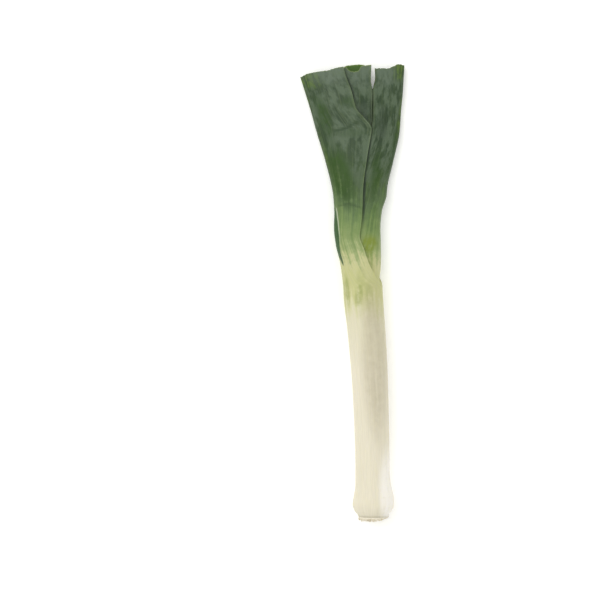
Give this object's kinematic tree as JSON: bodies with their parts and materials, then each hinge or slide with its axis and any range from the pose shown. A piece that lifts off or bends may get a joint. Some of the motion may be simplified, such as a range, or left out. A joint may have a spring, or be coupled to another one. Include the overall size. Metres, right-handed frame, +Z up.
{
  "type": "leek",
  "caption": "Trimmed leek lying flat: white stem with a slightly swollen root end, pale green neck and a fan of folded dark green leaves cut short.",
  "frame": {"origin": "on the surface under the middle of the leek's bounding box", "axes": "+X across the fan of leaves, to the right with the leaves pointing away; +Y along the leek from the root plate to the cut leaves; +Z up from the surface that the leek lies on"},
  "size_m": [0.0781, 0.34, 0.0286],
  "materials": {
    "outer_leaf_skin": "waxy leaf with a dull bloom, dark blue-green blade turning pale green at the neck and white at the root end",
    "inner_leaf_skin": "younger leaf, yellower green and moister than the outer ones",
    "root_tissue": "dry fibrous tan stem base with cut root stubs"
  },
  "bodies": {
    "root": {"outer_leaf": "outer_leaf_skin", "second_leaf": "outer_leaf_skin", "third_leaf": "inner_leaf_skin", "fourth_leaf": "inner_leaf_skin", "fifth_leaf": "inner_leaf_skin", "heart_leaf": "inner_leaf_skin", "root_plate": "root_tissue"}
  },
  "joints": []
}
